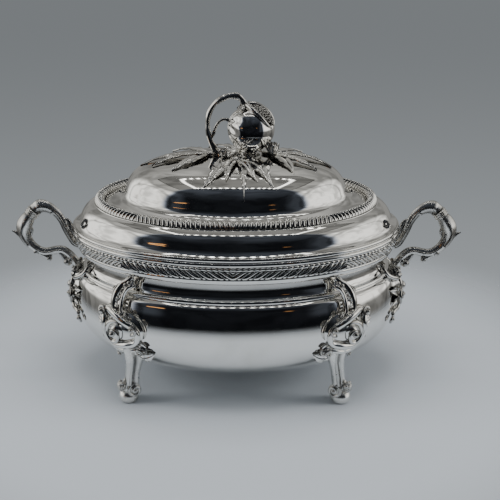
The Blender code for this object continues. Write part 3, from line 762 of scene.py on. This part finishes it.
def build_mount(side_name, x_sign):
    """The leaf-and-scroll plate that a handle springs from. Each side of it is the other's mirror image."""
    place = bowl_surface(0.0 if x_sign > 0 else math.pi, MOUNT_HEIGHT)
    oblong = ellipse(31.0, 22.0)

    def lobed(share, angle):
        return 7.0 * (1 - share ** 2) + 1.1 * share * (1 - share ** 4) * math.cos(7 * angle + 0.6)

    shapes = [relief(place, lambda angle: oblong(angle) * (1 + 0.10 * math.cos(7 * angle)), lobed)]
    down, up = math.radians(270), math.radians(90)
    for side in (-1, 1):
        def band(stops, side=side):
            return strap(place, [(side * x, y, out, r) for x, y, out, r in stops])

        def frond(root, tip, width, lift=1.2, bend=0.0, side=side):
            ends = [(side * x, y) for x, y in (root, tip)]
            return leaf(place, *ends, width, lift=lift, arch=2.2, bend=bend)

        start = down + side * 0.8
        shapes += scroll(place, (side * 17.0, -2.0), 7.0, 1.5, 1.9, down, side, lift=5.5, rise=2.5)
        shapes += scroll(place, (side * 9.0, 17.0), 5.4, 1.4, 1.7, start, -side, lift=5.0, rise=2.5)
        shapes += scroll(place, (side * 37.0, -19.0), 4.6, 1.3, 1.7, up, side, lift=2.4, rise=2.0)
        shapes += [band(stops) for stops in MOUNT_BANDS[:2]]
        shapes.append(frond((12.0, -6.0), (36.0, -7.0), 4.2, bend=side * 1.5))
        shapes.append(frond((16.0, 4.0), (38.0, 8.0), 4.2, bend=-side * 1.5))
        shapes.append(frond((5.0, -10.0), (11.0, -20.0), 3.4, lift=1.5))
        shapes.append(band(MOUNT_BANDS[2]))
    shapes.append(bead(place(0.0, 0.0, 6.5), (4.6, 4.6, 4.6)))
    for i, height in enumerate((10.0, -8.0, -14.0, -19.5)):
        shapes.append(bead(place(0.0, height, 5.6 - 0.8 * i), (2.9 - 0.35 * i,) * 3))
    shapes.append(leaf(place, (0.0, -12.0), (0.0, -24.0), 3.8, lift=2.0, arch=2.0))
    joined("handle_plate_" + side_name, shapes, CAST, "tureen", ["handle_mount_" + side_name])


# ---- finial
# Each spray of leaves: its root on the lid, then each leaf's tip and half width.
SPRAYS = {
    "left": ((-24.0, -1.0), [(-90.0, 0.0, 5.6), (-77.0, -19.0, 5.4), (-57.0, -39.0, 6.0), (-62.0, 32.0, 5.6)]),
    "right": ((30.0, 3.0), [(90.0, -4.0, 5.6), (75.0, -27.0, 5.4), (54.0, -44.0, 6.0), (64.0, 32.0, 5.6)]),
    "front": (
        (2.0, -22.0),
        [(-27.0, -67.0, 6.2), (-7.0, -64.0, 4.2), (9.0, -76.0, 3.2), (21.0, -63.0, 4.2), (35.0, -65.0, 6.2)],
    ),
    "back": ((2.0, 22.0), [(-30.0, 63.0, 5.8), (2.0, 70.0, 5.0), (32.0, 63.0, 5.8)]),
}
TWIG = [
    (-12.0, 0.0, 215.0, 3.6), (-16.5, 0.0, 219.0, 3.3), (-20.8, 0.0, 224.5, 2.9), (-24.3, 0.0, 232.5, 2.5),
    (-26.2, 0.0, 243.9, 2.3), (-24.3, 0.0, 256.0, 2.4), (-17.9, 0.0, 265.5, 2.6), (-8.0, 0.0, 271.0, 2.8),
    (1.0, 0.0, 272.0, 3.0), (6.2, 0.0, 268.4, 2.8), (8.6, 0.0, 262.4, 3.2),
]
TENDRIL = [
    (-23.6, 0.0, 231.0, 1.5), (-20.6, 0.0, 236.5, 1.5), (-19.0, 0.0, 242.0, 1.4), (-16.0, 0.0, 247.0, 1.4),
    (-11.5, 0.0, 250.0, 1.4), (-6.4, 0.0, 249.4, 1.5), (-2.4, 0.0, 245.6, 1.7),
]


def knotty(angle, share):
    """Bark: knots along a twig and furrows round it."""
    return 1.0 + 0.10 * math.sin(share * 41.0) + 0.09 * math.cos(3 * angle + share * 9.0)


def build_fruit():
    """A ball whose ribs run out from the stem's side and fade round its middle."""
    rings, columns, ribs = 48, 96, 9
    stem_side = Vector((-0.94, -0.10, 0.33)).normalized()
    turn = stem_side.to_track_quat("Z", "Y").to_matrix()
    rows = []
    for i in range(1, rings):
        polar = math.pi * i / rings
        depth = 0.06 * max(0.0, 1 - polar / 1.35) ** 0.7 * min(1.0, polar * 3)
        row = []
        for j in range(columns):
            angle = 2 * math.pi * j / columns
            reach = FRUIT_RADIUS * (1 - depth * (0.5 - 0.5 * math.cos(ribs * angle)))
            row.append(FRUIT_CENTRE + turn @ direction(polar, angle) * reach)
        rows.append(row)
    joined("fruit", [capped(rows)], POLISHED, "cover", ["finial_fruit"])


def build_seeds():
    """The split in the fruit's side, packed with seeds, and leaves that run down from the fruit's crown."""
    place = fruit_surface((0.56, -0.42, 0.72), (0.7, -0.1, -0.7))
    pulp, faces = relief(place, ellipse(13.6, 7.4), lambda share, angle: 0.3, rings=3, segments=40)
    # The pulp under the seeds is painted dark: painted shade in the gaps between the seeds.
    shapes = [(pulp, faces, [0.9] * len(pulp))]
    golden = math.pi * (3 - math.sqrt(5))
    seeds = 58
    for i in range(seeds):
        spread = math.sqrt((i + 0.5) / seeds)
        x, y = 12.4 * spread * math.cos(i * golden), 6.4 * spread * math.sin(i * golden)
        shapes.append(bead(place(x, y, 1.3), (1.2, 1.2, 1.2), segments=10, rings=6))
    for edge in (-1, 1):
        shapes.append(strap(place, [
            (-17.0, edge * 1.2, 2.4, 2.6), (-10.0, edge * 5.6, 1.6, 2.3), (0.0, edge * 7.8, 1.0, 1.9),
            (9.0, edge * 6.8, 0.6, 1.5), (14.5, edge * 2.8, 0.3, 0.9),
        ]))
    crown = (-0.1, -0.1, 1.0)
    for aim, width, length in (
        ((1.0, -0.2, 0.0), 2.2, 12.0), ((0.3, -1.0, 0.0), 2.0, 12.0), ((0.4, 1.0, 0.0), 2.4, 16.0),
        ((-0.6, -0.8, 0.0), 2.0, 11.0), ((-1.0, 0.1, 0.0), 2.0, 11.0),
    ):
        down = fruit_surface(crown, aim)
        shapes.append(leaf(down, (-2.0, 0.0), (length, 0.0), width, lift=0.6, arch=1.4, ripples=3.0))
    joined("seed_patch", shapes, CAST, "cover", ["finial_seed_patch"])


def build_blossom(name, centre, size, petals, node):
    """A bud with a ring of pointed petals and a beaded heart."""
    centre = Vector(centre)
    shapes = [bead(centre, (size, size * 0.95, size * 1.1), segments=16, rings=9)]
    for i in range(petals):
        angle = 2 * math.pi * i / petals

        def place(along, across, out, angle=angle):
            way = Vector((math.cos(angle), math.sin(angle), 0.0))
            side = Vector((-way.y, way.x, 0.0))
            lean = size * 0.75 + out * 0.6 + along * 0.25
            return centre + way * lean + side * across + Vector((0, 0, along - size * 0.5 + out * 0.3))

        shapes.append(leaf(place, (-1.0, 0.0), (size * 1.5, 0.0), size * 0.42, lift=0.3, arch=0.9, steps=9))
        stamen = centre + Vector((math.cos(angle), math.sin(angle), 1.9)) * size * 0.55
        shapes.append(bead(stamen, (size * 0.2,) * 3, segments=8, rings=5))
    joined(name, shapes, CAST, "cover", [node])


def build_calyx():
    """The leafy collar under the fruit."""
    def place(x, y, out):
        return lid_surface(x + 4.0, y, out)

    shapes = [relief(
        place, lambda angle: 17.5 + 1.5 * math.cos(7 * angle),
        lambda share, angle: 5.2 * (1 - share ** 2.5) + 0.8 * share * math.cos(7 * angle),
    )]
    sepals = 9
    for i in range(sepals):
        angle = 2 * math.pi * i / sepals
        root, tip = [(reach * math.cos(angle), reach * math.sin(angle)) for reach in (9, 21)]
        shapes.append(leaf(place, root, tip, 4.6, lift=2.6, arch=2.4))
    joined("calyx", shapes, CAST, "cover", ["finial_base"])


def build_sprays():
    for name, (root, leaves) in SPRAYS.items():
        shapes = []
        for i, (tip_x, tip_y, half_width) in enumerate(leaves):
            lift = 0.8 + 0.5 * (i % 2)
            bend = 2.2 * (-1) ** i
            shapes.append(leaf(lid_surface, root, (tip_x, tip_y), half_width, lift=lift, arch=2.0, bend=bend))
        shapes.append(bead(lid_surface(*root, 1.5), (6.0, 6.0, 2.6)))
        joined("leaves_" + name, shapes, CAST, "cover", ["leaf_spray_" + name])


def build_finial():
    build_fruit()
    build_seeds()
    joined("twig", [sweep(TWIG, sides=18, steps=9, section=knotty)], CAST, "cover", ["finial_twig"])
    joined("tendril", [sweep(TENDRIL, sides=10, steps=6, section=knotty)], CAST, "cover", ["finial_tendril"])
    build_blossom("bud_right", (34.5, -3.0, 223.0), 5.2, 7, "finial_bud_right")
    build_blossom("bud_left", (-11.5, -11.0, 221.0), 3.6, 6, "finial_bud_left")
    build_calyx()
    build_sprays()


def finish_hidden_fittings():
    """The bezel and the finial's fixing keep their solids."""
    fittings = {"lid_bezel": POLISHED, "finial_stud": BRASS, "finial_washer": BRASS, "finial_nut": BRASS}
    for node, material in fittings.items():
        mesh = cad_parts[node].data
        mesh.materials.clear()
        mesh.materials.append(material)


# ---- studio
def build_floor():
    """A plain pale floor that fades out into the backdrop."""
    circle = [2 * math.pi * j / 96 for j in range(96)]
    radii = (0.1, 150, 300, 500, 700)
    rows = [[Vector((r * math.cos(t), r * math.sin(t), 0.0)) for t in circle] for r in radii]
    points, faces = grid(rows, wrap_columns=True)
    mesh = bpy.data.meshes.new("floor")
    mesh.from_pydata([p * MM for p in points], [], faces)
    material, tree, shader = blank("floor_paper")
    shader.inputs["Base Color"].default_value = (0.46, 0.495, 0.53, 1.0)
    shader.inputs["Roughness"].default_value = 0.7
    where = tree.nodes.new("ShaderNodeTexCoord")
    length = tree.nodes.new("ShaderNodeVectorMath")
    length.operation = "LENGTH"
    tree.links.new(where.outputs["Object"], length.inputs[0])
    clear = tree.nodes.new("ShaderNodeBsdfTransparent")
    blend = tree.nodes.new("ShaderNodeMixShader")
    tree.links.new(ramp(tree, length.outputs["Value"], 0.25, 0.44, 0.0, 1.0), blend.inputs[0])
    tree.links.new(shader.outputs[0], blend.inputs[1])
    tree.links.new(clear.outputs[0], blend.inputs[2])
    tree.links.new(blend.outputs[0], tree.nodes["Material Output"].inputs["Surface"])
    mesh.materials.append(material)
    floor = bpy.data.objects.new("floor", mesh)
    bpy.context.scene.collection.objects.link(floor)


class Sky:
    """Small arithmetic over the world's node tree. A value is a number or another node's output."""

    def __init__(self, tree):
        self.tree = tree

    def math(self, operation, a, b=0.0, c=None):
        node = self.tree.nodes.new("ShaderNodeMath")
        node.operation = operation
        for i, value in enumerate((a, b, c)):
            if value is None:
                continue
            if isinstance(value, (int, float)):
                node.inputs[i].default_value = value
            else:
                self.tree.links.new(value, node.inputs[i])
        return node.outputs[0]

    def between(self, value, low, high, soft):
        """1 inside the limits, falling to 0 over the soft margin."""
        rise = ramp(self.tree, value, low - soft, low + soft, 0.0, 1.0)
        fall = ramp(self.tree, value, high - soft, high + soft, 1.0, 0.0)
        return self.math("MULTIPLY", rise, fall)

    def patch(self, x, x_limits, y, y_limits):
        """1 inside a rectangle. Limits are (low, high, soft margin)."""
        return self.math("MULTIPLY", self.between(x, *x_limits), self.between(y, *y_limits))

    def dimmed(self, value, share, amount):
        """The value, less that amount of it where share is 1."""
        return self.math("MULTIPLY", value, self.math("MULTIPLY_ADD", share, -amount, 1.0))

    def tinted(self, value, tint):
        """The value as a colour of that tint."""
        node = self.tree.nodes.new("ShaderNodeCombineColor")
        for socket, share in zip(node.inputs, tint):
            self.tree.links.new(self.math("MULTIPLY", value, share), socket)
        return node.outputs[0]


def lamp_ring(sky, x, y):
    """The roof's oblong ring of lamps: dots along its front and back, faint strips at its ends."""
    front_row = sky.patch(x, (-0.46, 0.46, 0.01), y, (-0.25, -0.21, 0.01))
    back_row = sky.patch(x, (-0.46, 0.46, 0.01), y, (0.36, 0.40, 0.01))
    ends = sky.patch(sky.math("ABSOLUTE", x), (0.42, 0.46, 0.01), y, (-0.25, 0.40, 0.01))
    dots = sky.between(sky.math("FRACT", sky.math("MULTIPLY", x, 16.0)), 0.3, 0.7, 0.15)
    rows = sky.math("MULTIPLY", sky.math("MAXIMUM", front_row, back_row), dots)
    return sky.math("MAXIMUM", rows, sky.math("MULTIPLY", ends, 0.35))


def folds(tree, where):
    """Soft folds in the tent's cloth, as a factor on its brightness."""
    cloth = tree.nodes.new("ShaderNodeTexNoise")
    cloth.inputs["Scale"].default_value = 3.2
    cloth.inputs["Detail"].default_value = 2.0
    cloth.inputs["Distortion"].default_value = 1.0
    tree.links.new(where, cloth.inputs["Vector"])
    return ramp(tree, cloth.outputs["Fac"], 0.32, 0.62, 0.62, 1.12)


def tent_walls(sky, x, z, roof_x, roof_y):
    """The cloth's brightness: side panels with a pole each, a roof, and a darker canopy with a dark hem."""
    aside = sky.math("ABSOLUTE", x)
    far_aside = ramp(sky.tree, aside, 0.60, 0.75, 0.0, 1.0)
    panel = sky.math("MULTIPLY", far_aside, sky.between(z, -0.12, 0.60, 0.05))
    walls = sky.math("MULTIPLY_ADD", panel, 1.05, ramp(sky.tree, z, -0.45, -0.05, 0.10, 0.26))
    walls = sky.math("MULTIPLY_ADD", ramp(sky.tree, z, 0.30, 0.90, 0.0, 1.0), 0.24, walls)
    canopy = sky.patch(roof_x, (-0.75, 0.75, 0.02), roof_y, (-0.34, 0.60, 0.02))
    hemmed = sky.patch(roof_x, (-0.79, 0.79, 0.01), roof_y, (-0.34, 0.63, 0.01))
    pole = sky.between(aside, 0.80, 0.84, 0.012)
    walls = sky.dimmed(walls, canopy, 0.55)
    walls = sky.dimmed(walls, sky.math("SUBTRACT", hemmed, canopy), 0.85)
    return sky.dimmed(walls, pole, 0.4)


def build_studio():
    """A light tent that only reflections see, with a dark opening at its front, round a plain backdrop."""
    world = bpy.data.worlds.new("studio")
    bpy.context.scene.world = world
    world.use_nodes = True
    tree = world.node_tree
    sky = Sky(tree)
    where = tree.nodes.new("ShaderNodeTexCoord").outputs["Generated"]
    split = tree.nodes.new("ShaderNodeSeparateXYZ")
    tree.links.new(where, split.inputs[0])
    x, y, z = split.outputs
    front = sky.math("MAXIMUM", sky.math("MULTIPLY", y, -1.0), 0.001)
    across = sky.math("DIVIDE", x, front)
    above = sky.math("DIVIDE", z, front)
    overhead = sky.math("MAXIMUM", z, 0.001)
    roof_x = sky.math("DIVIDE", x, overhead)
    roof_y = sky.math("DIVIDE", y, overhead)

    walls = sky.math("MULTIPLY", tent_walls(sky, x, z, roof_x, roof_y), folds(tree, where))
    opening = sky.patch(across, (-2.0, 2.0, 0.4), above, (-6.0, 3.9, 0.25))
    gloom = ramp(tree, z, 0.35, 0.97, 0.965, 0.86)
    walls = sky.math("MULTIPLY", walls, sky.math("SUBTRACT", 1.0, sky.math("MULTIPLY", opening, gloom)))
    bright = sky.math("MULTIPLY_ADD", lamp_ring(sky, roof_x, roof_y), 8.0, walls)
    cloth, daylight = sky.tinted(bright, (1.0, 0.995, 0.955)), sky.tinted(bright, (0.85, 0.97, 1.20))
    tent = blend(tree, opening, cloth, daylight)
    warm = sky.patch(across, (-1.30, -0.85, 0.04), above, (0.30, 0.38, 0.03))
    glint = sky.patch(across, (0.50, 0.62, 0.03), above, (0.22, 0.27, 0.02))
    lamps = sky.math("MAXIMUM", warm, sky.math("MULTIPLY", glint, 0.6))
    tent = blend(tree, lamps, tent, sky.tinted(lamps, (1.3, 0.62, 0.22)))

    backdrop = sky.tinted(ramp(tree, z, -0.44, -0.10, 0.375, 0.20), (0.93, 1.0, 1.05))
    path = tree.nodes.new("ShaderNodeLightPath")
    seen = blend(tree, path.outputs["Is Glossy Ray"], sky.tinted(0.36, (0.97, 1.0, 1.03)), tent)
    shown = blend(tree, path.outputs["Is Camera Ray"], seen, backdrop)
    tree.links.new(shown, tree.nodes["Background"].inputs["Color"])


def build_lights():
    for name, place, size, power in (
        ("roof_light", (0.0, -0.1, 1.2), 0.8, 10.0),
        ("left_light", (-1.1, -0.2, 0.6), 0.5, 7.0),
        ("right_light", (1.1, -0.2, 0.6), 0.5, 7.0),
    ):
        light = bpy.data.lights.new(name, "AREA")
        light.size = size
        light.energy = power
        lamp = bpy.data.objects.new(name, light)
        lamp.location = place
        lamp.rotation_euler = (Vector((0, 0, 0.1)) - Vector(place)).to_track_quat("-Z", "Y").to_euler()
        lamp.visible_glossy = False
        bpy.context.scene.collection.objects.link(lamp)


def build_camera():
    """The viewpoint: in front and a little above, 0.97 m from the middle of the object."""
    azimuth, elevation, distance = math.radians(0.6), math.radians(18.9), 0.97
    aim = Vector((0.0135, 0.0, 0.122))
    back = Vector((
        math.sin(azimuth) * math.cos(elevation), -math.cos(azimuth) * math.cos(elevation), math.sin(elevation)
    ))
    data = bpy.data.cameras.new("camera")
    data.lens = 72.0
    data.sensor_width = 36.0
    camera = bpy.data.objects.new("camera", data)
    camera.location = aim + back * distance
    camera.rotation_euler = (-back).to_track_quat("-Z", "Y").to_euler()
    bpy.context.scene.collection.objects.link(camera)
    bpy.context.scene.camera = camera


build_camera()
build_bowl()
build_lid()
build_lid_edge()
build_borders()
build_feet()
for name, sign in (("left", -1), ("right", 1)):
    build_handle(name, sign)
    build_mount(name, sign)
build_finial()
finish_hidden_fittings()
build_floor()
build_studio()
build_lights()
